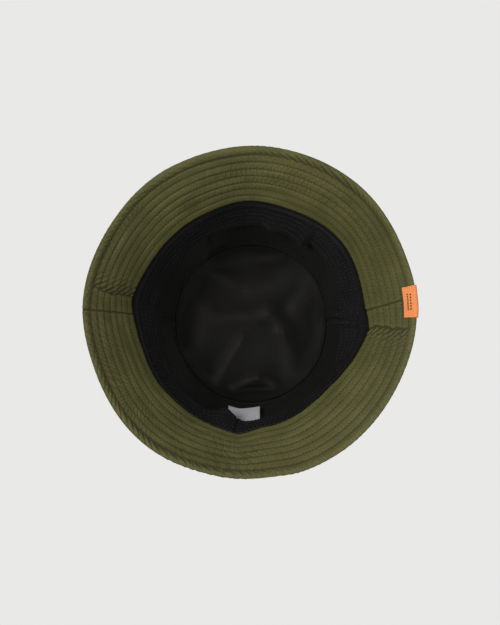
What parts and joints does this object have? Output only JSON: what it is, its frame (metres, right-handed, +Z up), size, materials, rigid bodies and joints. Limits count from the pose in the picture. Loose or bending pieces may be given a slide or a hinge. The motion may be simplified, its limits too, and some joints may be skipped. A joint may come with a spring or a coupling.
{
  "type": "bucket hat",
  "caption": "Soft bucket hat with a tapered lined crown, a flared brim quilted with stitch rows, a stitched sweatband, a folded edge tab and a care label.",
  "frame": {"origin": "on the hat's axis at the level of the brim's edge, which the hat rests on", "axes": "+Z up through the crown, -Y towards the front, +X towards the side with the edge tab"},
  "size_m": [0.2679, 0.2666, 0.1306],
  "materials": {
    "shell": "olive nylon twill with a soft sheen",
    "shell_thread": "olive polyester sewing thread",
    "stiffener": "white non-woven felt",
    "mesh_lining": "black knitted mesh",
    "sweatband": "black woven polyester",
    "band_thread": "black polyester sewing thread",
    "tab_ribbon": "orange woven ribbon",
    "label_satin": "white printed satin ribbon"
  },
  "bodies": {
    "hat": {"crown_tip": "shell", "crown_side_front": "shell", "crown_side_back": "shell", "brim_top_front": "shell", "brim_top_back": "shell", "brim_stiffener_front": "stiffener", "brim_stiffener_back": "stiffener", "brim_under_front": "shell", "brim_under_back": "shell", "lining_tip": "mesh_lining", "lining_side_front": "mesh_lining", "lining_side_back": "mesh_lining", "sweatband_cover": "sweatband", "sweatband_padding": "stiffener", "brim_stitch_row_1": "shell_thread", "brim_stitch_row_2": "shell_thread", "brim_stitch_row_3": "shell_thread", "brim_stitch_row_4": "shell_thread", "brim_stitch_row_5": "shell_thread", "brim_stitch_row_6": "shell_thread", "brim_stitch_row_7": "shell_thread", "sweatband_stitch_row_1": "band_thread", "sweatband_stitch_row_2": "band_thread", "sweatband_stitch_row_3": "band_thread", "sweatband_stitch_row_4": "band_thread", "sweatband_stitch_row_5": "band_thread", "sweatband_join_stitches": "band_thread", "tip_topstitch_upper": "shell_thread", "tip_topstitch_lower": "shell_thread", "crown_base_topstitch": "shell_thread", "side_seam_topstitch_left": "shell_thread", "side_seam_topstitch_right": "shell_thread", "edge_tab": "tab_ribbon"},
    "care_label": {"care_label": "label_satin"}
  },
  "joints": [
    {"name": "care_label_flap", "type": "hinge", "parent": "hat", "child": "care_label", "pos_m": [-0.005, 0.0805, 0.0815], "axis": [1, 0, 0], "range_deg": [-6, 115], "stiffness_Nm_per_rad": 0.0002}
  ]
}
